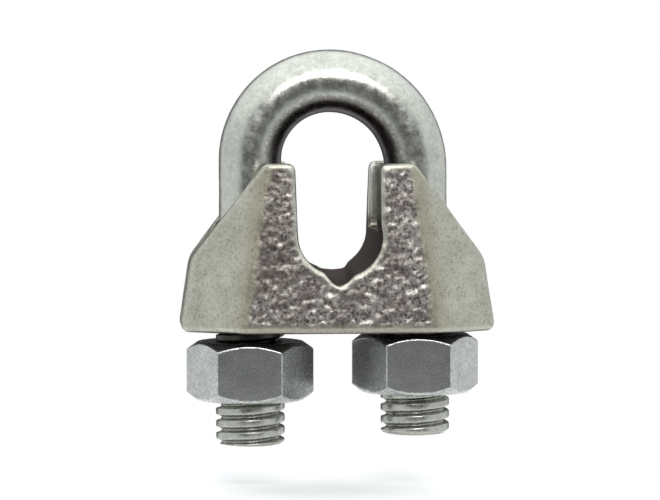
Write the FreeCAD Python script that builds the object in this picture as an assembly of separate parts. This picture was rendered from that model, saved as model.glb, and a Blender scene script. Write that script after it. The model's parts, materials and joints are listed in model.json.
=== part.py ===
import FreeCAD, Part
import math
import os

# Wire rope clip for 1/4 in (6 mm) rope: a U-bolt, a cast saddle and two hexagon nuts.
# Millimetres. The origin is on the axis of the rope seat, halfway through the saddle.
# +X runs across the two legs, +Y along the rope, +Z from the nuts towards the bow.

Vector = FreeCAD.Vector

# Standard sizes that drive the rest
PITCH = 25.4 / 18              # 5/16-18 UNC thread
THREAD_RADIUS = 3.97           # over the crests
LEG_SPACING = 19.05            # 3/4 in between the leg axes
NUT_FLATS = 12.7               # 1/2 in across flats
NUT_HEIGHT = 6.75              # 17/64 in

# Saddle, a drafted casting
SEAT_HEIGHT = 11.2             # seat axis above the flat underside
UNDERSIDE = -SEAT_HEIGHT
HORN_TOP = UNDERSIDE + 19.25
HALF_WIDTH = 18.1
CASTING_SHIFT = 0.35           # the casting is this far to +X of its channel and holes
END_DRAFT = math.radians(8.5)
HALF_DEPTH = 8.4
FACE_DRAFT = math.radians(3.0)
FACE_HALF_WIDTH_BOTTOM = 11.3  # front face, at the underside
FACE_HALF_WIDTH_TOP = 8.2      # front face, at the horn tops
END_HALF_DEPTH = 4.2           # of the end faces, at the underside
SHOULDER_X = 16.75             # where an end face meets the sloping wing top
SHOULDER_Z = UNDERSIDE + 8.5
HORN_OUTER_X = 8.5             # where the slope meets the horn top
SHOULDER_RADIUS = 3.4
HORN_RADIUS = 1.5
BOTTOM_RADIUS = 0.9
BODY_RADIUS = 1.0              # along the upright edges of the casting
LEG_HOLE_RADIUS = 4.3

# Rope channel and seat
SEAT_RADIUS = 4.45
CHANNEL_SWELL = 0.05           # how much wider the channel is at its mouths, level with the seat axis
CHANNEL_TOP_MIDDLE = 4.6       # half width of the channel at the horn tops, halfway through
CHANNEL_TOP_MOUTH = 4.85       # and at the front and back faces
FLARE = 4.95                   # half width at the front on the +X side, where the wall turns outwards
RELIEF_SHIFT = (0.65, -0.25)   # (x, z) of the skewed relief's axis at the front face
RELIEF_END = 4.0               # where that axis meets the seat's own axis
LIP_RADIUS = 0.8               # between the channel walls and the horn tops
# Strand groove across the seat: (x, z) of its corners at the front face and at the back face
GROOVE_FRONT = [(-1.9, -3.6), (-0.5, -5.5), (0.2, -5.85), (1.05, -5.4), (2.45, -4.0)]
GROOVE_BACK = [(-1.5, -3.9), (-1.0, -4.5), (0.45, -4.62), (1.95, -4.5), (2.85, -2.9)]
BOW_SLOT_FLOOR = 0.4           # above this the leg holes open into the channel for the bow

# U-bolt
LEG_X = {"left": -LEG_SPACING / 2, "right": LEG_SPACING / 2}
SHANK_RADIUS = 3.6             # rolled thread, so the shank is thinner than the crests
BOW_TOP_Z = UNDERSIDE + 28.61  # axis of the rod at the top of the bow
BOW_TOP_X = -0.45              # the bow leans a little to -X
LEG_ENDS = {"left": UNDERSIDE - 13.2, "right": UNDERSIDE - 12.0}
LEG_END_CHAMFERS = {"left": 0.7, "right": 0.4}
THREAD_TOP = UNDERSIDE + 5.3   # full thread up to here
RUNOUT = 0.7

# Thread form: a rounded ridge wound round a core
CORE_RADIUS = 3.34
RIDGE_CREST_WIDTH = 0.56
FLANK_ANGLE = math.radians(27)
CREST_CROWN = 0.08             # how far the crest bulges above its two edges
RIDGE_BURY = 0.12              # the ridge starts this far inside the core
# Height of a crest on the +X side of each leg, which sets where the ridge starts
CREST_Z = {"left": UNDERSIDE - 8.68, "right": UNDERSIDE - 8.33}

# Nuts
NUT_GAPS = {"left": 1.3, "right": 0.5}         # below the saddle's underside
NUT_TURNS = {"left": -3.3, "right": -1.5}      # degrees, of the front flat about the leg
NUT_FACE_RADIUS = 6.05                         # washer face left by the end chamfers
NUT_CHAMFER = math.radians(35)
THREAD_CLEARANCE = 0.15                        # the nut's whole thread form lies this far out
NUT_MOUTH_RELIEF = 0.1                         # countersink, beyond the thread's greatest radius

SIDES = {"left": -1, "right": 1}
OVERRUN = 1.0                  # how far cutting tools reach past what they cut
STRAIGHT = 0.0                 # degrees of taper of the thread helix
SHELL_GAP = 0.02               # keeps two drafted faces from lying in one plane


def closed_wire(points):
    return Part.makePolygon(points + points[:1])


def lies_along_y(edge):
    start, end = edge.Vertexes[0].Point, edge.Vertexes[-1].Point
    return abs(start.x - end.x) < 1e-6 and abs(start.z - end.z) < 1e-6


def is_upright(edge):
    heights = [vertex.Z for vertex in edge.Vertexes]
    return max(heights) - min(heights) > 5


def lies_at(edge, z):
    return all(abs(vertex.Z - z) < 1e-3 for vertex in edge.Vertexes)


def is_channel_lip(edge):
    """Whether the edge runs along a channel wall, front to back."""
    start, end = edge.Vertexes[0].Point, edge.Vertexes[-1].Point
    return abs(start.y - end.y) > 1 and max(abs(start.x), abs(end.x)) < HORN_OUTER_X - HORN_RADIUS


def octagon(z):
    """Plan outline of the casting at height z, all its sides drafted."""
    rise = z - UNDERSIDE
    share = rise / (HORN_TOP - UNDERSIDE)
    face_x = FACE_HALF_WIDTH_BOTTOM + share * (FACE_HALF_WIDTH_TOP - FACE_HALF_WIDTH_BOTTOM)
    face_y = HALF_DEPTH - rise * math.tan(FACE_DRAFT)
    end_x = HALF_WIDTH - rise * math.tan(END_DRAFT)
    wing_slope = (HALF_DEPTH - END_HALF_DEPTH) / (HALF_WIDTH - FACE_HALF_WIDTH_BOTTOM)
    end_y = face_y - wing_slope * (end_x - face_x)
    corners = [(end_x, -end_y), (end_x, end_y), (face_x, face_y), (-face_x, face_y),
               (-end_x, end_y), (-end_x, -end_y), (-face_x, -face_y), (face_x, -face_y)]
    return closed_wire([Vector(x, y, z) for x, y in corners])


def front_outline():
    """Upright prism with the sloping wing tops, rounded shoulders and rounded horn corners."""
    slope = (HORN_TOP - SHOULDER_Z) / (SHOULDER_X - HORN_OUTER_X)
    draft = math.tan(END_DRAFT)
    shoulder_x = HALF_WIDTH + SHELL_GAP - (SHOULDER_Z - UNDERSIDE) * draft
    shoulder_z = SHOULDER_Z + (SHOULDER_X - shoulder_x) * slope
    foot_z = UNDERSIDE - OVERRUN
    foot_x = shoulder_x + (shoulder_z - foot_z) * draft
    right = [(foot_x, foot_z), (shoulder_x, shoulder_z), (HORN_OUTER_X, HORN_TOP)]
    left = [(-x, z) for x, z in reversed(right)]
    near = -HALF_DEPTH - OVERRUN
    face = Part.Face(closed_wire([Vector(x, near, z) for x, z in right + left]))
    prism = face.extrude(Vector(0, -2 * near, 0))
    shoulders = [edge for edge in prism.Edges if lies_along_y(edge) and lies_at(edge, shoulder_z)]
    prism = prism.makeFillet(SHOULDER_RADIUS, shoulders)
    horns = [edge for edge in prism.Edges if lies_along_y(edge) and lies_at(edge, HORN_TOP)]
    return prism.makeFillet(HORN_RADIUS, horns)


def casting_blank():
    """The drafted block with rounded edges, before the channel and the holes."""
    block = Part.makeLoft([octagon(UNDERSIDE), octagon(HORN_TOP + OVERRUN)], True, True)
    block = block.makeFillet(BODY_RADIUS, [edge for edge in block.Edges if is_upright(edge)])
    block = block.makeFillet(BOTTOM_RADIUS, [edge for edge in block.Edges if lies_at(edge, UNDERSIDE)])
    block = block.common(front_outline()).Solids[0]
    block.translate(Vector(CASTING_SHIFT, 0, 0))
    return block


def extended(middle, mouth):
    """Half width where the cutting tools end, for a wall that curves from middle to mouth."""
    return middle + (mouth - middle) * ((HALF_DEPTH + OVERRUN) / HALF_DEPTH) ** 2


def channel_outline(z, middle, mouth):
    """Plan outline of the channel at height z; its side walls bow in towards the rope."""
    reach = HALF_DEPTH + OVERRUN
    end, flared = extended(middle, mouth), extended(middle, FLARE)
    right = Part.Arc(Vector(flared, -reach, z), Vector(middle, 0, z), Vector(end, reach, z)).toShape()
    back = Part.makeLine(Vector(end, reach, z), Vector(-end, reach, z))
    left = Part.Arc(Vector(-end, reach, z), Vector(-middle, 0, z), Vector(-end, -reach, z)).toShape()
    front = Part.makeLine(Vector(-end, -reach, z), Vector(flared, -reach, z))
    return Part.Wire([right, back, left, front])


def channel():
    """What the rope channel removes: the round seat, and the widening space above it."""
    reach = HALF_DEPTH + OVERRUN
    seat = Part.makeCylinder(SEAT_RADIUS, 2 * reach, Vector(0, -reach, 0), Vector(0, 1, 0))
    rise = HORN_TOP + OVERRUN
    above = Part.makeLoft([channel_outline(0, SEAT_RADIUS, SEAT_RADIUS + CHANNEL_SWELL),
                           channel_outline(rise, CHANNEL_TOP_MIDDLE, CHANNEL_TOP_MOUTH)], True, True)
    return seat.fuse(above)


def skewed_relief():
    """A second round trough, skewed from the seat, that opens its mouth at the front on the +X side."""
    x, z = RELIEF_SHIFT
    meeting = Vector(0, RELIEF_END, 0)
    direction = Vector(x, -HALF_DEPTH, z) - meeting
    length = direction.Length * (RELIEF_END + HALF_DEPTH + OVERRUN) / (RELIEF_END + HALF_DEPTH)
    return Part.makeCylinder(SEAT_RADIUS, length, meeting, direction)


def groove_section(share):
    """Outline of the strand groove this share of the way from the front face to the back face."""
    y = HALF_DEPTH * (2 * share - 1)
    corners = [Vector(x1 + (x2 - x1) * share, y, z1 + (z2 - z1) * share)
               for (x1, z1), (x2, z2) in zip(GROOVE_FRONT, GROOVE_BACK)]
    lid = [Vector(corners[-1].x, y, 0), Vector(corners[0].x, y, 0)]
    return closed_wire(corners + lid)


def strand_groove():
    """The groove along the bottom of the seat, skewed and deepest at the front."""
    past = OVERRUN / (2 * HALF_DEPTH)
    return Part.makeLoft([groove_section(-past), groove_section(1 + past)], True, True)


def leg_hole(side):
    """The round hole for one leg, opened into the channel above the seat so the bow can come down."""
    x = LEG_X[side]
    height = HORN_TOP - UNDERSIDE + 2 * OVERRUN
    hole = Part.makeCylinder(LEG_HOLE_RADIUS, height, Vector(x, 0, UNDERSIDE - OVERRUN))
    slot_corner = Vector(min(x, 0), -LEG_HOLE_RADIUS, BOW_SLOT_FLOOR)
    slot = Part.makeBox(abs(x), 2 * LEG_HOLE_RADIUS, height, slot_corner)
    return hole.fuse(slot)


def saddle():
    body = casting_blank()
    for tool in (channel(), skewed_relief(), strand_groove(), leg_hole("left"), leg_hole("right")):
        body = body.cut(tool)
    body = body.removeSplitter()
    lips = [edge for edge in body.Edges if lies_at(edge, HORN_TOP) and is_channel_lip(edge)]
    return body.makeFillet(LIP_RADIUS, lips)


def helical_ridge(side, root_radius, crest_radius, bottom, top):
    """One thread ridge wound round a leg, in step with CREST_Z and reaching past both heights."""
    start = CREST_Z[side] - PITCH * math.ceil((CREST_Z[side] - bottom) / PITCH + 1)
    length = PITCH * math.ceil((top - start) / PITCH + 1)
    helix = Part.makeLongHelix(PITCH, length, root_radius, STRAIGHT)
    edge_radius = crest_radius - CREST_CROWN
    crest_half = RIDGE_CREST_WIDTH / 2
    root_half = crest_half + (edge_radius - root_radius) * math.tan(FLANK_ANGLE)
    root_low, root_high = Vector(root_radius, 0, -root_half), Vector(root_radius, 0, root_half)
    crest_low, crest_high = Vector(edge_radius, 0, -crest_half), Vector(edge_radius, 0, crest_half)
    crest = Part.Arc(crest_low, Vector(crest_radius, 0, 0), crest_high).toShape()
    outline = Part.Wire([Part.makeLine(root_low, crest_low), crest,
                         Part.makeLine(crest_high, root_high), Part.makeLine(root_high, root_low)])
    ridge = Part.Wire(helix).makePipeShell([outline], True, True)
    ridge.translate(Vector(LEG_X[side], 0, start))
    return ridge


def turned(side, profile):
    """A solid of revolution about one leg, from (radius, z) pairs, closed on the axis."""
    x = LEG_X[side]
    points = [Vector(x + radius, 0, z) for radius, z in profile]
    axis = [Vector(x, 0, profile[-1][1]), Vector(x, 0, profile[0][1])]
    return Part.Face(closed_wire(points + axis)).revolve(Vector(x, 0, 0), Vector(0, 0, 1), 360)


def threaded_leg(side):
    """The threaded end of one leg, up to where the plain shank has begun."""
    end = LEG_ENDS[side]
    chamfer = LEG_END_CHAMFERS[side]
    shank_start = THREAD_TOP + RUNOUT
    outside = THREAD_RADIUS + OVERRUN
    core = turned(side, [(CORE_RADIUS, end), (CORE_RADIUS, THREAD_TOP),
                         (SHANK_RADIUS, shank_start), (SHANK_RADIUS, shank_start + OVERRUN)])
    ridge = helical_ridge(side, CORE_RADIUS - RIDGE_BURY, THREAD_RADIUS, end, THREAD_TOP)
    fade = turned(side, [(outside, end - OVERRUN), (outside, THREAD_TOP - OVERRUN),
                         (CORE_RADIUS, shank_start)])
    pointed = turned(side, [(THREAD_RADIUS - chamfer, end), (outside, end + chamfer + OVERRUN),
                            (outside, shank_start + 2 * OVERRUN)])
    return core.fuse(ridge.common(fade)).common(pointed)


def bow_half(side):
    """Straight shank and quarter turn of the rod from one leg to the top of the bow."""
    x = LEG_X[side]
    bend_radius = abs(x - BOW_TOP_X)
    bend_z = BOW_TOP_Z - bend_radius
    shank_start = THREAD_TOP + RUNOUT
    shank = Part.makeCylinder(SHANK_RADIUS, bend_z - shank_start, Vector(x, 0, shank_start))
    section = Part.Face(Part.Wire(Part.makeCircle(SHANK_RADIUS, Vector(x, 0, bend_z))))
    quarter = section.revolve(Vector(BOW_TOP_X, 0, bend_z), Vector(0, -SIDES[side], 0), 90)
    return shank.fuse(quarter)


def u_bolt():
    body = bow_half("left").fuse(bow_half("right"))
    for side in SIDES:
        body = body.fuse(threaded_leg(side))
    return body.removeSplitter()


def nut(side):
    """Hexagon nut, chamfered at both ends, with its thread in step with its leg."""
    top = UNDERSIDE - NUT_GAPS[side]
    bottom = top - NUT_HEIGHT
    x = LEG_X[side]
    corner_radius = NUT_FLATS / 2 / math.cos(math.pi / 6)
    corners = []
    for k in range(6):
        angle = math.radians(60 * k + NUT_TURNS[side])
        corners.append(Vector(x + corner_radius * math.cos(angle), corner_radius * math.sin(angle), bottom))
    prism = Part.Face(closed_wire(corners)).extrude(Vector(0, 0, NUT_HEIGHT))
    outside = corner_radius + OVERRUN
    drop = (outside - NUT_FACE_RADIUS) * math.tan(NUT_CHAMFER)
    body = prism.common(turned(side, [(NUT_FACE_RADIUS, bottom), (outside, bottom + drop),
                                      (outside, top - drop), (NUT_FACE_RADIUS, top)]))
    bore = CORE_RADIUS + THREAD_CLEARANCE
    mouth = THREAD_RADIUS + THREAD_CLEARANCE + NUT_MOUTH_RELIEF
    depth = mouth - bore
    body = body.cut(turned(side, [(mouth + OVERRUN, bottom - OVERRUN), (bore, bottom + depth),
                                  (bore, top - depth), (mouth + OVERRUN, top + OVERRUN)]))
    groove = helical_ridge(side, bore - RIDGE_BURY, THREAD_RADIUS + THREAD_CLEARANCE, bottom, top)
    return body.cut(groove)


def main():
    os.makedirs("parts", exist_ok=True)
    pieces = {"saddle": saddle(), "u_bolt": u_bolt(), "nut_left": nut("left"), "nut_right": nut("right")}
    for name, piece in pieces.items():
        if not piece.isValid() or len(piece.Solids) != 1:
            raise RuntimeError(name + " is not one valid solid")
        piece.Solids[0].exportStep("parts/" + name + ".step")


main()
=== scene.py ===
"""Wire rope clip: a zinc-plated U-bolt, a rough cast saddle and two hexagon nuts."""
import json
import math

import bmesh
import bpy
import mathutils
import numpy as np
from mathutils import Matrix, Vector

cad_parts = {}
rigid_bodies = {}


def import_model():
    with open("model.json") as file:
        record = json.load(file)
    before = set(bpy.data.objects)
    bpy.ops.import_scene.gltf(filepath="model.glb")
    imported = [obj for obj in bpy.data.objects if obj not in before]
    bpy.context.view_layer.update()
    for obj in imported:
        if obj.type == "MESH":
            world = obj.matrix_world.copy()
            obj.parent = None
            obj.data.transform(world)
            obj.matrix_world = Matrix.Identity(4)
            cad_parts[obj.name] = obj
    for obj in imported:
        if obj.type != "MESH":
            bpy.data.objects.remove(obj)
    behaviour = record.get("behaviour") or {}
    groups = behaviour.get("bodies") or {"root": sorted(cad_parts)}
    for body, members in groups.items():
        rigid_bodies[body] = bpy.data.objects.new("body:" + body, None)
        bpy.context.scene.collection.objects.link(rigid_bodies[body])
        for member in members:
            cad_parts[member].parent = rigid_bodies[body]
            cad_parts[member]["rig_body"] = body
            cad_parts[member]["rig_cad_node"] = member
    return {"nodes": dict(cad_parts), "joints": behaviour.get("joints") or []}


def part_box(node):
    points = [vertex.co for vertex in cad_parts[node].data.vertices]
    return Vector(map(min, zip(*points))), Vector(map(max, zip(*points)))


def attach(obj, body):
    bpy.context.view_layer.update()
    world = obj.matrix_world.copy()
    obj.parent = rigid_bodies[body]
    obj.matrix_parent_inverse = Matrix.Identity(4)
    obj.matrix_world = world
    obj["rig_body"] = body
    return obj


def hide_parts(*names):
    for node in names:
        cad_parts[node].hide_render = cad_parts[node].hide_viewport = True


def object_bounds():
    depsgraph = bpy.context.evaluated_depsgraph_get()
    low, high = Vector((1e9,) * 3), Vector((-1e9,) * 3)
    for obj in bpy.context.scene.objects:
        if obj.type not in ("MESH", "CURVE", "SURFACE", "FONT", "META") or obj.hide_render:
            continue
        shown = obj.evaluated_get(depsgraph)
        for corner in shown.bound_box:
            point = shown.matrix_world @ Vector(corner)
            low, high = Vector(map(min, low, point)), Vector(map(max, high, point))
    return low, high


MM = 0.001

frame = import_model()
cad_low, cad_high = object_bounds()


# ---------------------------------------------------------------- helpers

def node_points(node):
    """A CAD node's vertices as rows of x, y, z."""
    mesh = frame["nodes"][node].data
    points = np.empty(len(mesh.vertices) * 3)
    mesh.vertices.foreach_get("co", points)
    return points.reshape(-1, 3)


def new_piece(name, verts, faces):
    """A new object in the scene, made of these points and faces."""
    mesh = bpy.data.meshes.new(name)
    mesh.from_pydata([tuple(v) for v in verts], [], [tuple(f) for f in faces])
    mesh.validate()
    piece = bpy.data.objects.new(name, mesh)
    bpy.context.scene.collection.objects.link(piece)
    return piece


def apply_modifiers(piece):
    """Turns a piece's modifiers into plain mesh."""
    bpy.context.view_layer.update()
    graph = bpy.context.evaluated_depsgraph_get()
    done = bpy.data.meshes.new_from_object(piece.evaluated_get(graph))
    piece.modifiers.clear()
    old = piece.data
    piece.data = done
    bpy.data.meshes.remove(old)
    done.name = piece.name


def shade_smooth(piece):
    mesh = piece.data
    mesh.polygons.foreach_set("use_smooth", [True] * len(mesh.polygons))
    mesh.update()


def points_and_normals(piece):
    """A piece's points and their normals, each as rows of x, y, z."""
    mesh = piece.data
    points = np.empty(len(mesh.vertices) * 3)
    normals = np.empty(len(mesh.vertices) * 3)
    mesh.vertices.foreach_get("co", points)
    mesh.vertex_normals.foreach_get("vector", normals)
    return points.reshape(-1, 3), normals.reshape(-1, 3)


def move_points(piece, points):
    piece.data.vertices.foreach_set("co", points.ravel())
    piece.data.update()


def lattice_values(cells, seed):
    """A repeatable random number from -1 to 1 for each whole-number cell."""
    x, y, z = (cells[:, i].astype(np.int64) for i in range(3))
    key = (x * 73856093) ^ (y * 19349663) ^ (z * 83492791) ^ (seed * 2654435761)
    key = (key ^ (key >> 13)) * 1274126177 & 0x7FFFFFFF
    key = (key ^ (key >> 15)) * 668265263 & 0x7FFFFFFF
    return (key ^ (key >> 14)) / float(0x7FFFFFFF) % 1.0 * 2 - 1


def noise(points, size, seed):
    """Smooth value noise, from -1 to 1, with features about this size in metres."""
    scaled = points / size
    base = np.floor(scaled)
    part = scaled - base
    part = part * part * (3 - 2 * part)
    base = base.astype(np.int64)
    total = np.zeros(len(points))
    for corner in range(8):
        step = np.array([corner & 1, corner >> 1 & 1, corner >> 2 & 1])
        weight = np.prod(np.where(step == 1, part, 1 - part), axis=1)
        total += weight * lattice_values(base + step, seed)
    return total


def put_attribute(piece, name, values):
    """Stores one number per point for the materials to read."""
    attribute = piece.data.attributes.new(name, "FLOAT", "POINT")
    attribute.data.foreach_set("value", np.asarray(values, np.float32))


def spread(piece, values, rounds):
    """Averages point values with their neighbours this many times."""
    mesh = piece.data
    ends = np.empty(len(mesh.edges) * 2, np.int32)
    mesh.edges.foreach_get("vertices", ends)
    first, second = ends.reshape(-1, 2).T
    count = np.bincount(ends, minlength=len(values))
    for _ in range(rounds):
        total = np.bincount(first, values[second], len(values))
        total += np.bincount(second, values[first], len(values))
        values = (values + total / count) / 2
    return values


def smoothstep(low, high, value):
    """0 at low, 1 at high and an even S-curve between them; low may be the greater."""
    t = np.clip((value - low) / (high - low), 0, 1)
    return t * t * (3 - 2 * t)


# ---------------------------------------------------------------- saddle

SADDLE_VOXEL = 0.192 * MM
SADDLE_ROUNDING = 12               # smoothing steps
FACE_FOOT = 11.3 * MM              # half widths of the rough front and back faces
FACE_HEAD = 8.7 * MM
CHANNEL_HALF = 5.8 * MM            # half width that takes in the whole rope channel


def remeshed_copy(node, name, voxel, smooth_steps):
    """An even, closed mesh over a CAD node's surface, its sharp edges rounded over."""
    piece = frame["nodes"][node].copy()
    piece.data = frame["nodes"][node].data.copy()
    piece.name = name
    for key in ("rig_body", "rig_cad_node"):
        if key in piece:
            del piece[key]
    piece.parent = None
    bpy.context.scene.collection.objects.link(piece)
    remesh = piece.modifiers.new("even", "REMESH")
    remesh.mode = "VOXEL"
    remesh.voxel_size = voxel
    remesh.adaptivity = 0
    smooth = piece.modifiers.new("round", "SMOOTH")
    smooth.factor = 0.5
    smooth.iterations = smooth_steps
    apply_modifiers(piece)
    return piece


def rough_end_faces(piece, points, normals, low, high):
    """Each point's share in the front or back face and in its scale, and how far inside the edges it lies."""
    x, y, z = points.T
    ends = smoothstep(0.75, 0.85, np.abs(y) / high.y)
    face = smoothstep(0.95, 0.99, np.abs(normals[:, 1])) * ends
    face = smoothstep(0.62, 0.95, spread(piece, face, 10))
    share = (z - low.z) / (high.z - low.z)
    half = FACE_FOOT + (FACE_HEAD - FACE_FOOT) * share
    from_side = half - np.abs(x - (low.x + high.x) / 2) + noise(points, 1.6 * MM, 9) * 0.3 * MM
    from_foot = z - low.z + noise(points, 1.2 * MM, 10) * 0.3 * MM
    scale = face * smoothstep(0.5 * MM, 1.1 * MM, from_side) * smoothstep(0.5 * MM, 1.3 * MM, from_foot)
    return face, scale, from_side, from_foot


def roughen_saddle(piece, points, normals, face, scale):
    """Lumps, grain and pits on the rough faces, and shallow waves everywhere."""
    lumps = noise(points, 0.9 * MM, 2) * 0.5 + noise(points, 0.55 * MM, 3)
    grain = noise(points, 0.36 * MM, 4)
    pits = -np.clip(noise(points, 0.8 * MM, 5) - 0.2, 0, 1)
    rough = (lumps * 0.05 + grain * 0.035 + pits * 0.10) * (scale + 0.2 * (1 - scale) * face)
    waves = noise(points, 3.1 * MM, 6) * 0.035 + noise(points, 1.3 * MM, 7) * 0.014
    move_points(piece, points + normals * ((rough + waves) * MM)[:, None])


def mark_end_faces(piece, points, normals, low, scale, from_side, from_foot):
    """Where the rough scale and its brown edge are, and where painted shade darkens the left side of the
    rough faces, more so higher up.
    """
    x, y, z = points.T
    put_attribute(piece, "rough_face", scale)
    beside_face = smoothstep(2.2 * MM, 0.5 * MM, np.abs(from_side - 0.5 * MM))
    below_face = smoothstep(1.8 * MM, 0.6 * MM, from_foot) * smoothstep(0, 2 * MM, from_side)
    faces_end = smoothstep(0.75, 0.80, np.abs(normals[:, 1]))
    put_attribute(piece, "brown_edge", np.maximum(beside_face, below_face) * faces_end)
    # painted shade: the left side of the rough faces darker, more so higher up
    left_side = smoothstep(-2 * MM, -7 * MM, x)
    put_attribute(piece, "painted_left_shade", left_side * smoothstep(low.z, low.z + 8 * MM, z))


def mark_channel(piece, points, normals, low, high):
    """The rope channel's walls darkened with painted shade, strongest low down, and a painted highlight along
    the rounded corners of the slots that lead to the leg holes.
    """
    x, y, z = points.T
    between_walls = smoothstep(CHANNEL_HALF, 5.2 * MM, np.abs(x))
    in_channel = between_walls * smoothstep(low.z + 4 * MM, low.z + 5 * MM, z)
    walls = smoothstep(0.7, 0.3, np.abs(normals[:, 1])) * smoothstep(0.97, 0.9, np.abs(y) / high.y)
    # painted shade with a brown tint on the channel walls, full below 1.2 mm height and a third of it above
    # 2.8 mm
    put_attribute(piece, "channel", in_channel * walls * (0.3 + 0.7 * smoothstep(2.8 * MM, 1.2 * MM, z)))
    # painted highlight: near-white colour along the rounded upright corners where the slots open off the
    # channel
    upright_corner = smoothstep(0.10, 0.30, np.abs(normals[:, :2]).min(axis=1))
    corner = upright_corner * smoothstep(6.5 * MM, 6 * MM, np.abs(y))
    painted_corner_highlight = in_channel * corner * smoothstep(1.2 * MM, 2.6 * MM, z)
    put_attribute(piece, "painted_corner_highlight", np.minimum(1, 1.6 * spread(piece, painted_corner_highlight, 2)))


def make_saddle():
    low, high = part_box("saddle")
    piece = remeshed_copy("saddle", "cast_saddle", SADDLE_VOXEL, SADDLE_ROUNDING)
    points, normals = points_and_normals(piece)
    face, scale, from_side, from_foot = rough_end_faces(piece, points, normals, low, high)
    roughen_saddle(piece, points, normals, face, scale)
    mark_end_faces(piece, points, normals, low, scale, from_side, from_foot)
    mark_channel(piece, points, normals, low, high)
    # painted shade: downward faces at the saddle's foot, dark for the nut tops to reflect
    faces_down = smoothstep(-0.7, -0.95, normals[:, 2])
    put_attribute(piece, "painted_underside_shade", faces_down * smoothstep(1 * MM, 0.2 * MM, from_foot))
    shade_smooth(piece)
    return piece


# ---------------------------------------------------------------- U-bolt

PITCH = 25.4 / 18 * MM
RING = 96                          # points round the rod
THREAD_STEP = 0.09 * MM            # between rings along a thread
SHANK_STEP = 0.4 * MM
CREST_SHARE = 0.50                 # of the pitch, at the crests' worn tops
ROOT_SHARE = 0.14
CREST_CROWN = 0.10                 # of the thread's height, lost away from the middle of a crest
RUNOUT = 0.9 * MM
NEAR_CREST = 0.975                 # of the crest radius
WELL_INSIDE = 0.6                  # of the crest radius; nearer the axis there is no thread
LEFT_END_ROUND = 0.75 * MM
RIGHT_END_ROUND = 0.45 * MM


class Leg:
    """What the frame says of one threaded leg."""

    def __init__(self, joint, points, end_round):
        self.x = joint["pos_m"][0]
        self.end_round = end_round
        mine = points[(points[:, 0] * self.x > 0) & (points[:, 2] < joint["pos_m"][2])]
        radius = np.hypot(mine[:, 0] - self.x, mine[:, 1])
        self.end_z = mine[:, 2].min()
        self.crest = radius.max()
        past_tip = mine[:, 2] > self.end_z + PITCH
        self.root = radius[past_tip & (radius > WELL_INSIDE * self.crest)].min()
        crests = mine[radius > NEAR_CREST * self.crest]
        turn = np.arctan2(crests[:, 1], crests[:, 0] - self.x)
        wave = np.exp(1j * (2 * math.pi * crests[:, 2] / PITCH - turn))
        self.phase = float(np.angle(wave.mean()))

    def radius(self, z, turn, shank, thread_top):
        """Rod radius at a height and an angle about this leg, thread, runout and end included."""
        along = (z / PITCH - (turn + self.phase) / (2 * math.pi)) % 1.0
        off_crest = np.abs(np.where(along > 0.5, along - 1, along)) * 2
        height = 1 - smoothstep(CREST_SHARE, 1 - ROOT_SHARE, off_crest)
        height = height * (1 - CREST_CROWN * off_crest ** 2)
        threaded = self.root + (self.crest - self.root) * height
        into_shank = smoothstep(thread_top, thread_top + RUNOUT, z)
        body = threaded * (1 - into_shank) + shank * into_shank
        rise = z - self.end_z
        into_round = np.clip(self.end_round - rise, 0, None)
        tip = self.crest - self.end_round
        tip = tip + np.sqrt(np.clip(self.end_round ** 2 - into_round ** 2, 0, None))
        return np.minimum(body, tip)


def u_bolt_rings(legs, thread_top, top):
    """Centre, outward direction, leg and height of each ring, from the left end to the right end."""
    halves = []
    for leg in legs:
        bend = abs(leg.x - top[0])
        bend_z = top[1] - bend
        heights = list(np.arange(leg.end_z, thread_top + RUNOUT, THREAD_STEP))
        straight = bend_z - heights[-1]
        steps = math.ceil(straight / SHANK_STEP)
        heights += [heights[-1] + straight * (i + 1) / steps for i in range(steps)]
        out = math.copysign(1, leg.x)
        half = [((leg.x, z), (out, 0.0), leg, z) for z in heights]
        turns = math.ceil(math.pi / 2 * bend / SHANK_STEP)
        for i in range(1, turns + 1):
            angle = math.pi / 2 * i / turns
            direction = (out * math.cos(angle), math.sin(angle))
            centre = (top[0] + bend * direction[0], bend_z + bend * direction[1])
            half.append((centre, direction, None, None))
        halves.append(half)
    return halves[0] + halves[1][-2::-1]


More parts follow.
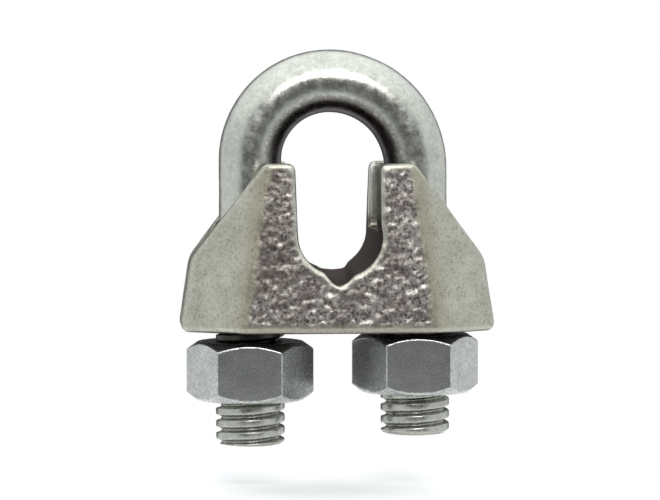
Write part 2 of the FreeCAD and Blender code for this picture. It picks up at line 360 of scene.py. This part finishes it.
def make_u_bolt():
    points = node_points("u_bolt")
    joints = {joint["name"]: joint for joint in frame["joints"]}
    legs = [Leg(joints["nut_left_turn"], points, LEFT_END_ROUND),
            Leg(joints["nut_right_turn"], points, RIGHT_END_ROUND)]
    above = points[points[:, 2] > 0.5 * cad_high[2]]
    shank = above[:, 1].max()
    highest = above[above[:, 2].argmax()]
    top = (highest[0], highest[2] - shank)
    thread_top = top_of_thread(points, legs[0])
    saddle_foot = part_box("saddle")[0].z
    angles = np.arange(RING) * 2 * math.pi / RING
    rows = []
    inside = []
    saddle_shade_and_dark_thread = []
    for centre, out, leg, z in u_bolt_rings(legs, thread_top, top):
        if leg is None:
            radius = np.full(RING, shank)
        else:
            turn = np.arctan2(np.sin(angles), np.cos(angles) * out[0])
            radius = leg.radius(np.full(RING, z), turn, shank, thread_top)
        # painted shade along the inner side of the bow, above the saddle
        above_saddle = smoothstep(0, 6 * MM, centre[1])
        inside.append(above_saddle * smoothstep(0.05, 0.75, -np.cos(angles)))
        # painted shade from just below the saddle up into its holes, and the legs faintly darker further down
        under = smoothstep(saddle_foot - 1.0 * MM, saddle_foot - 2.2 * MM, centre[1])
        saddle_shade_and_dark_thread.append(np.full(RING, 0.2 * under + (1 - under) * smoothstep(0, -4 * MM, centre[1])))
        across = radius * np.cos(angles)
        ring_x = centre[0] + across * out[0]
        ring_z = centre[1] + across * out[1]
        rows.append(np.stack([ring_x, radius * np.sin(angles), ring_z], 1))
    verts = np.concatenate(rows)
    faces = []
    for row in range(len(rows) - 1):
        for i in range(RING):
            j = (i + 1) % RING
            faces.append((row * RING + i, row * RING + j, (row + 1) * RING + j, (row + 1) * RING + i))
    verts, faces = close_end(verts, faces, 0, legs[0])
    verts, faces = close_end(verts, faces, (len(rows) - 1) * RING, legs[1])
    piece = new_piece("zinc_u_bolt", verts, faces)
    for name, values in (("painted_bow_shade", inside), ("saddle_shade_and_dark_thread", saddle_shade_and_dark_thread)):
        put_attribute(piece, name, np.pad(np.concatenate(values), (0, len(verts) - len(rows) * RING)))
    fix_normals(piece)
    weather_rod(piece)
    shade_smooth(piece)
    return piece


def top_of_thread(points, leg):
    """The height where the crests sink to the plain shank."""
    mine = points[(points[:, 0] * leg.x > 0) & (points[:, 2] < 0)]
    radius = np.hypot(mine[:, 0] - leg.x, mine[:, 1])
    return mine[radius > NEAR_CREST * leg.crest][:, 2].max()


def close_end(verts, faces, first, leg):
    """Closes the open ring at the end of a leg with rings that shrink to its middle."""
    rim = verts[first:first + RING]
    middle = np.array([leg.x, 0, leg.end_z])
    start = first
    for share in (0.86, 0.66, 0.44, 0.22):
        dish = (1 - share) * 0.05 * MM
        ring = middle + (rim - middle) * share + np.array([0, 0, dish])
        begin = len(verts)
        verts = np.concatenate([verts, ring])
        for i in range(RING):
            j = (i + 1) % RING
            faces.append((start + i, start + j, begin + j, begin + i))
        start = begin
    verts = np.concatenate([verts, middle[None, :]])
    for i in range(RING):
        faces.append((start + i, start + (i + 1) % RING, len(verts) - 1))
    return verts, faces


def fix_normals(piece):
    mesh = bmesh.new()
    mesh.from_mesh(piece.data)
    bmesh.ops.recalc_face_normals(mesh, faces=mesh.faces)
    mesh.to_mesh(piece.data)
    mesh.free()
    piece.data.update()


def weather_rod(piece):
    """Shallow waves from bending and handling, and the bite of the plating bath."""
    points, normals = points_and_normals(piece)
    waves = noise(points, 4.5 * MM, 21) * 0.030 + noise(points, 1.7 * MM, 22) * 0.014
    skin = noise(points, 0.5 * MM, 23) * 0.006
    move_points(piece, points + normals * ((waves + skin) * MM)[:, None])


# ---------------------------------------------------------------- nuts

NUT_VOXEL = 0.11 * MM
NUT_ROUNDING = 4                   # smoothing steps


def make_nut(side, seed):
    piece = remeshed_copy("nut_" + side, "zinc_nut_" + side, NUT_VOXEL, NUT_ROUNDING)
    points, normals = points_and_normals(piece)
    waves = noise(points, 2.6 * MM, seed) * 0.007 + noise(points, 0.9 * MM, seed + 1) * 0.002
    skin = noise(points, 0.3 * MM, seed + 2) * 0.0015
    move_points(piece, points + normals * ((waves + skin) * MM)[:, None])
    shade_smooth(piece)
    return piece


# ---------------------------------------------------------------- materials

class Nodes:
    """Short calls for building one material's node tree."""

    def __init__(self, name):
        self.material = bpy.data.materials.new(name)
        self.material.use_nodes = True
        self.tree = self.material.node_tree
        self.shader = self.tree.nodes["Principled BSDF"]
        self.place = self.tree.nodes.new("ShaderNodeTexCoord").outputs["Object"]

    def link(self, source, target):
        if hasattr(source, "is_output"):
            self.tree.links.new(source, target)
        else:
            target.default_value = source

    def noise(self, size, detail, rough):
        node = self.tree.nodes.new("ShaderNodeTexNoise")
        node.inputs["Scale"].default_value = 1 / size
        node.inputs["Detail"].default_value = detail
        node.inputs["Roughness"].default_value = rough
        self.link(self.place, node.inputs["Vector"])
        return node.outputs["Fac"]

    def ramp(self, value, *stops):
        node = self.tree.nodes.new("ShaderNodeValToRGB")
        elements = node.color_ramp.elements
        while len(elements) < len(stops):
            elements.new(0.5)
        for element, (at, colour) in zip(elements, stops):
            element.position = at
            grey = isinstance(colour, (int, float))
            element.color = (colour, colour, colour, 1) if grey else (*colour, 1)
        self.link(value, node.inputs["Fac"])
        return node.outputs["Color"]

    def mix(self, share, first, second, mode="MIX"):
        node = self.tree.nodes.new("ShaderNodeMix")
        node.data_type = "RGBA"
        node.blend_type = mode
        self.link(share, node.inputs["Factor"])
        sockets = [s for s in node.inputs if s.type == "RGBA"]
        for value, socket in ((first, sockets[0]), (second, sockets[1])):
            if isinstance(value, tuple):
                value = (*value, 1)
            self.link(value, socket)
        return [s for s in node.outputs if s.type == "RGBA"][0]

    def math(self, kind, first, second=0.0, third=0.0):
        node = self.tree.nodes.new("ShaderNodeMath")
        node.operation = kind
        for value, socket in zip((first, second, third), node.inputs):
            self.link(value, socket)
        return node.outputs[0]

    def attribute(self, name):
        node = self.tree.nodes.new("ShaderNodeAttribute")
        node.attribute_name = name
        return node.outputs["Fac"]

    def pointiness(self):
        return self.tree.nodes.new("ShaderNodeNewGeometry").outputs["Pointiness"]

    def bump(self, *layers):
        """Stacks (height, depth in metres) layers and joins them to the shader."""
        normal = None
        for height, depth in layers:
            node = self.tree.nodes.new("ShaderNodeBump")
            node.inputs["Strength"].default_value = 1.0
            node.inputs["Distance"].default_value = depth
            self.link(height, node.inputs["Height"])
            if normal:
                self.link(normal, node.inputs["Normal"])
            normal = node.outputs["Normal"]
        self.link(normal, self.shader.inputs["Normal"])

    def finish(self, colour, roughness, metallic=1.0):
        self.link(colour, self.shader.inputs["Base Color"])
        self.link(roughness, self.shader.inputs["Roughness"])
        self.link(metallic, self.shader.inputs["Metallic"])
        return self.material


def rod_zinc():
    """Mottled plating, with painted shade along the inner side of the bow, from just below the saddle up into
    its holes, and in the thread roots, and the legs faintly darker further down.
    """
    n = Nodes("rod_zinc")
    inside = n.attribute("painted_bow_shade")
    cloud = n.noise(1.6 * MM, 5, 0.65)
    fine = n.noise(0.45 * MM, 5, 0.7)
    colour = n.ramp(cloud, (0.30, (0.35, 0.36, 0.325)), (0.70, (0.51, 0.525, 0.475)))
    colour = n.mix(n.ramp(fine, (0.42, 0.0), (0.70, 0.6)), colour, (0.64, 0.655, 0.61))
    # painted shade: a near-black mottled band along the inner side of the bow
    dark = n.ramp(n.math("ADD", fine, n.math("MULTIPLY", inside, 0.42)), (0.62, 0.0), (0.80, 1.0))
    colour = n.mix(n.math("MULTIPLY", dark, inside), colour, (0.075, 0.065, 0.065))
    # painted shade at and inside the saddle's holes; the legs below it faintly darker
    colour = n.mix(n.attribute("saddle_shade_and_dark_thread"), colour, (0.05, 0.045, 0.04))
    # painted shade in the thread roots and other hollows, darker where the surface is concave
    edge = n.ramp(n.pointiness(), (0.42, (0.22, 0.21, 0.20)), (0.495, (1.0, 1.0, 1.0)))
    colour = n.mix(1.0, colour, edge, "MULTIPLY")
    rough = n.ramp(n.noise(0.8 * MM, 4, 0.6), (0.3, 0.20), (0.7, 0.36))
    n.bump((n.noise(0.6 * MM, 4, 0.6), 0.012 * MM), (n.noise(0.16 * MM, 2, 0.5), 0.004 * MM))
    return n.finish(colour, rough)


def nut_zinc():
    """Cleaner, greyer plating with small dark blots."""
    n = Nodes("nut_zinc")
    cloud = n.noise(2.2 * MM, 4, 0.6)
    colour = n.ramp(cloud, (0.30, (0.47, 0.49, 0.465)), (0.70, (0.63, 0.65, 0.61)))
    blot = n.noise(0.30 * MM, 5, 0.8)
    colour = n.mix(n.ramp(blot, (0.42, 0.0), (0.62, 0.75)), colour, (0.25, 0.23, 0.27))
    rough = n.ramp(blot, (0.3, 0.22), (0.7, 0.34))
    n.bump((n.noise(0.30 * MM, 2, 0.5), 0.007 * MM))
    return n.finish(colour, rough)


def cast_zinc():
    """Smooth drafted sides, and dark grit on the front and back faces."""
    n = Nodes("cast_zinc")
    face = n.attribute("rough_face")
    grit = n.noise(0.40 * MM, 5, 0.76)
    cloud = n.noise(2.4 * MM, 5, 0.6)
    fine = n.noise(0.34 * MM, 6, 0.8)
    smooth_colour = n.ramp(cloud, (0.30, (0.40, 0.41, 0.35)), (0.72, (0.55, 0.56, 0.49)))
    brown = n.math("MULTIPLY", n.attribute("brown_edge"), 0.55)
    smooth_colour = n.mix(brown, smooth_colour, (0.33, 0.30, 0.22))
    smooth_colour = n.mix(n.ramp(fine, (0.50, 0.0), (0.68, 0.85)), smooth_colour, (0.17, 0.15, 0.11))
    rough_colour = n.ramp(
        grit,
        (0.40, (0.07, 0.055, 0.05)),
        (0.51, (0.41, 0.39, 0.365)),
        (0.64, (0.76, 0.74, 0.70)),
    )
    rough_colour = n.mix(n.ramp(cloud, (0.42, 0.55), (0.60, 0.0)), rough_colour, (0.12, 0.095, 0.09))
    # painted shade on the left side of the rough faces
    rough_colour = n.mix(n.math("MULTIPLY", n.attribute("painted_left_shade"), 0.30), rough_colour, (0.10, 0.075, 0.06))
    colour = n.mix(face, smooth_colour, rough_colour)
    # painted shade with a brown tint on the rope channel's walls
    colour = n.mix(n.attribute("channel"), colour, (0.095, 0.066, 0.054))
    # painted highlight: near-white and glossier along the slot corners in the channel
    painted_corner_highlight = n.attribute("painted_corner_highlight")
    colour = n.mix(painted_corner_highlight, colour, (0.98, 0.97, 0.94))
    # painted shade, near black, on the saddle's underside
    colour = n.mix(n.attribute("painted_underside_shade"), colour, (0.06, 0.055, 0.05))
    # painted shade in creases and hollows, brownish, darker where the surface is concave
    edge = n.ramp(
        n.pointiness(),
        (0.43, (0.22, 0.16, 0.14)),
        (0.49, (0.86, 0.84, 0.83)),
        (0.56, (1.0, 1.0, 1.0)),
    )
    colour = n.mix(1.0, colour, edge, "MULTIPLY")
    rough = n.mix(face, n.ramp(cloud, (0.3, 0.32), (0.7, 0.46)), n.ramp(grit, (0.3, 0.48), (0.7, 0.30)))
    rough = n.mix(painted_corner_highlight, rough, (0.40, 0.40, 0.40))
    n.bump(
        (n.noise(0.9 * MM, 4, 0.6), 0.02 * MM),
        (grit, 0.035 * MM),
        (n.noise(0.15 * MM, 3, 0.6), 0.005 * MM),
    )
    return n.finish(colour, rough)


# ---------------------------------------------------------------- the clip

pieces = [
    (make_saddle(), "saddle", cast_zinc()),
    (make_u_bolt(), "u_bolt", rod_zinc()),
]
nut_finish = nut_zinc()
pieces.append((make_nut("left", 31), "nut_left", nut_finish))
pieces.append((make_nut("right", 41), "nut_right", nut_finish))
for piece, node, material in pieces:
    piece.data.materials.clear()
    piece.data.materials.append(material)
    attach(piece, node)
    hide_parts(node)


# ---------------------------------------------------------------- studio

FLOOR_Z = cad_low[2] - 5.4 * MM    # below the legs with the U-bolt drawn right down
FLOOR_RADIUS = 50 * MM
FLOOR_SIDES = 96
ROOM_LIGHT = 1.0                   # from the sides and from below
ROOM_TOP = 1.75                    # from overhead
RISE_FROM, RISE_TO = 0.2, 0.9      # how steeply upwards a direction points as the one becomes the other
DARK_FRONT = 0.15                  # light from straight ahead of the clip's front face
DARK_BACK = 0.08                   # and from straight behind it
DARK_FROM, DARK_TO = 0.64, 0.93    # how squarely a direction faces along the rope
CAMERA_TURN = math.radians(-4.16)  # to the clip's left
CAMERA_RISE = math.radians(2.98)
CAMERA_DISTANCE = 381.3 * MM
CAMERA_TARGET = mathutils.Vector((-0.31, 0, -2.05)) * MM
VIEW_WIDTH = 76.0456 * MM          # what the picture spans at the target
SENSOR_WIDTH = 36                  # in millimetres, as the lens is


def plain(name, colour, roughness):
    """A material of one colour."""
    material = bpy.data.materials.new(name)
    material.use_nodes = True
    shader = material.node_tree.nodes["Principled BSDF"]
    shader.inputs["Base Color"].default_value = (*colour, 1)
    shader.inputs["Roughness"].default_value = roughness
    return material


def make_floor():
    turns = np.arange(FLOOR_SIDES) * 2 * math.pi / FLOOR_SIDES
    rim = [(FLOOR_RADIUS * math.cos(t), FLOOR_RADIUS * math.sin(t), FLOOR_Z) for t in turns]
    floor = new_piece("studio_floor", rim, [range(FLOOR_SIDES)])
    floor.data.materials.append(plain("studio_white", (0.86, 0.86, 0.86), 0.9))


def aim(thing, target):
    """Turns a camera or a lamp towards a point."""
    direction = mathutils.Vector(target) - thing.location
    thing.rotation_euler = direction.to_track_quat("-Z", "Y").to_euler()


def softbox(name, place, size, power):
    """A white rectangular lamp that faces the clip and isn't seen itself."""
    lamp = bpy.data.lights.new(name, "AREA")
    lamp.shape = "RECTANGLE"
    lamp.size, lamp.size_y = size
    lamp.energy = power
    box = bpy.data.objects.new(name, lamp)
    box.location = place
    box.visible_camera = False
    bpy.context.scene.collection.objects.link(box)
    aim(box, (0, 0, 0))


def make_world():
    """Plain white to the camera. To the metal, a room that is dark towards both ends of the rope."""
    world = bpy.data.worlds.new("studio")
    world.use_nodes = True
    tree = world.node_tree

    def node(kind, *inputs, **settings):
        made = tree.nodes.new("ShaderNode" + kind)
        for name, value in settings.items():
            setattr(made, name, value)
        for source, socket in zip(inputs, made.inputs):
            if hasattr(source, "is_output"):
                tree.links.new(source, socket)
            else:
                socket.default_value = source
        return made

    direction = node("SeparateXYZ", node("TexCoord").outputs["Generated"])
    along_rope = node("Math", direction.outputs["Y"], operation="ABSOLUTE")
    level = node("MapRange", direction.outputs["Z"], RISE_FROM, RISE_TO, ROOM_LIGHT, ROOM_TOP,
                 interpolation_type="SMOOTHSTEP")
    end_light = node("MapRange", direction.outputs["Y"], -DARK_FROM, DARK_FROM, DARK_FRONT, DARK_BACK)
    dark = node("MapRange", along_rope.outputs[0], DARK_FROM, DARK_TO, level.outputs[0], end_light.outputs[0],
                interpolation_type="SMOOTHSTEP")
    room = tree.nodes["Background"]
    room.inputs["Color"].default_value = (0.97, 0.99, 1.0, 1)
    tree.links.new(dark.outputs[0], room.inputs["Strength"])
    white = node("Background", (1, 1, 1, 1), 1.0)
    seen = node("LightPath").outputs["Is Camera Ray"]
    choose = node("MixShader", seen, room.outputs[0], white.outputs[0])
    tree.links.new(choose.outputs[0], tree.nodes["World Output"].inputs["Surface"])
    bpy.context.scene.world = world


def make_camera():
    """Nearly straight on, a little to the left of the clip and a little above it."""
    level_part = math.cos(CAMERA_RISE)
    back = mathutils.Vector((
        math.sin(CAMERA_TURN) * level_part,
        -math.cos(CAMERA_TURN) * level_part,
        math.sin(CAMERA_RISE),
    ))
    data = bpy.data.cameras.new("camera")
    data.sensor_width = SENSOR_WIDTH
    data.lens = SENSOR_WIDTH * CAMERA_DISTANCE / VIEW_WIDTH
    data.clip_start = 0.01
    data.clip_end = 20
    camera = bpy.data.objects.new("camera", data)
    camera.location = CAMERA_TARGET + back * CAMERA_DISTANCE
    aim(camera, CAMERA_TARGET)
    bpy.context.scene.collection.objects.link(camera)
    bpy.context.scene.camera = camera


make_floor()
make_world()
softbox("front", (0.02, -0.52, 0.29), (0.30, 0.10), 1.65)
make_camera()
bpy.context.scene.view_settings.view_transform = "Standard"
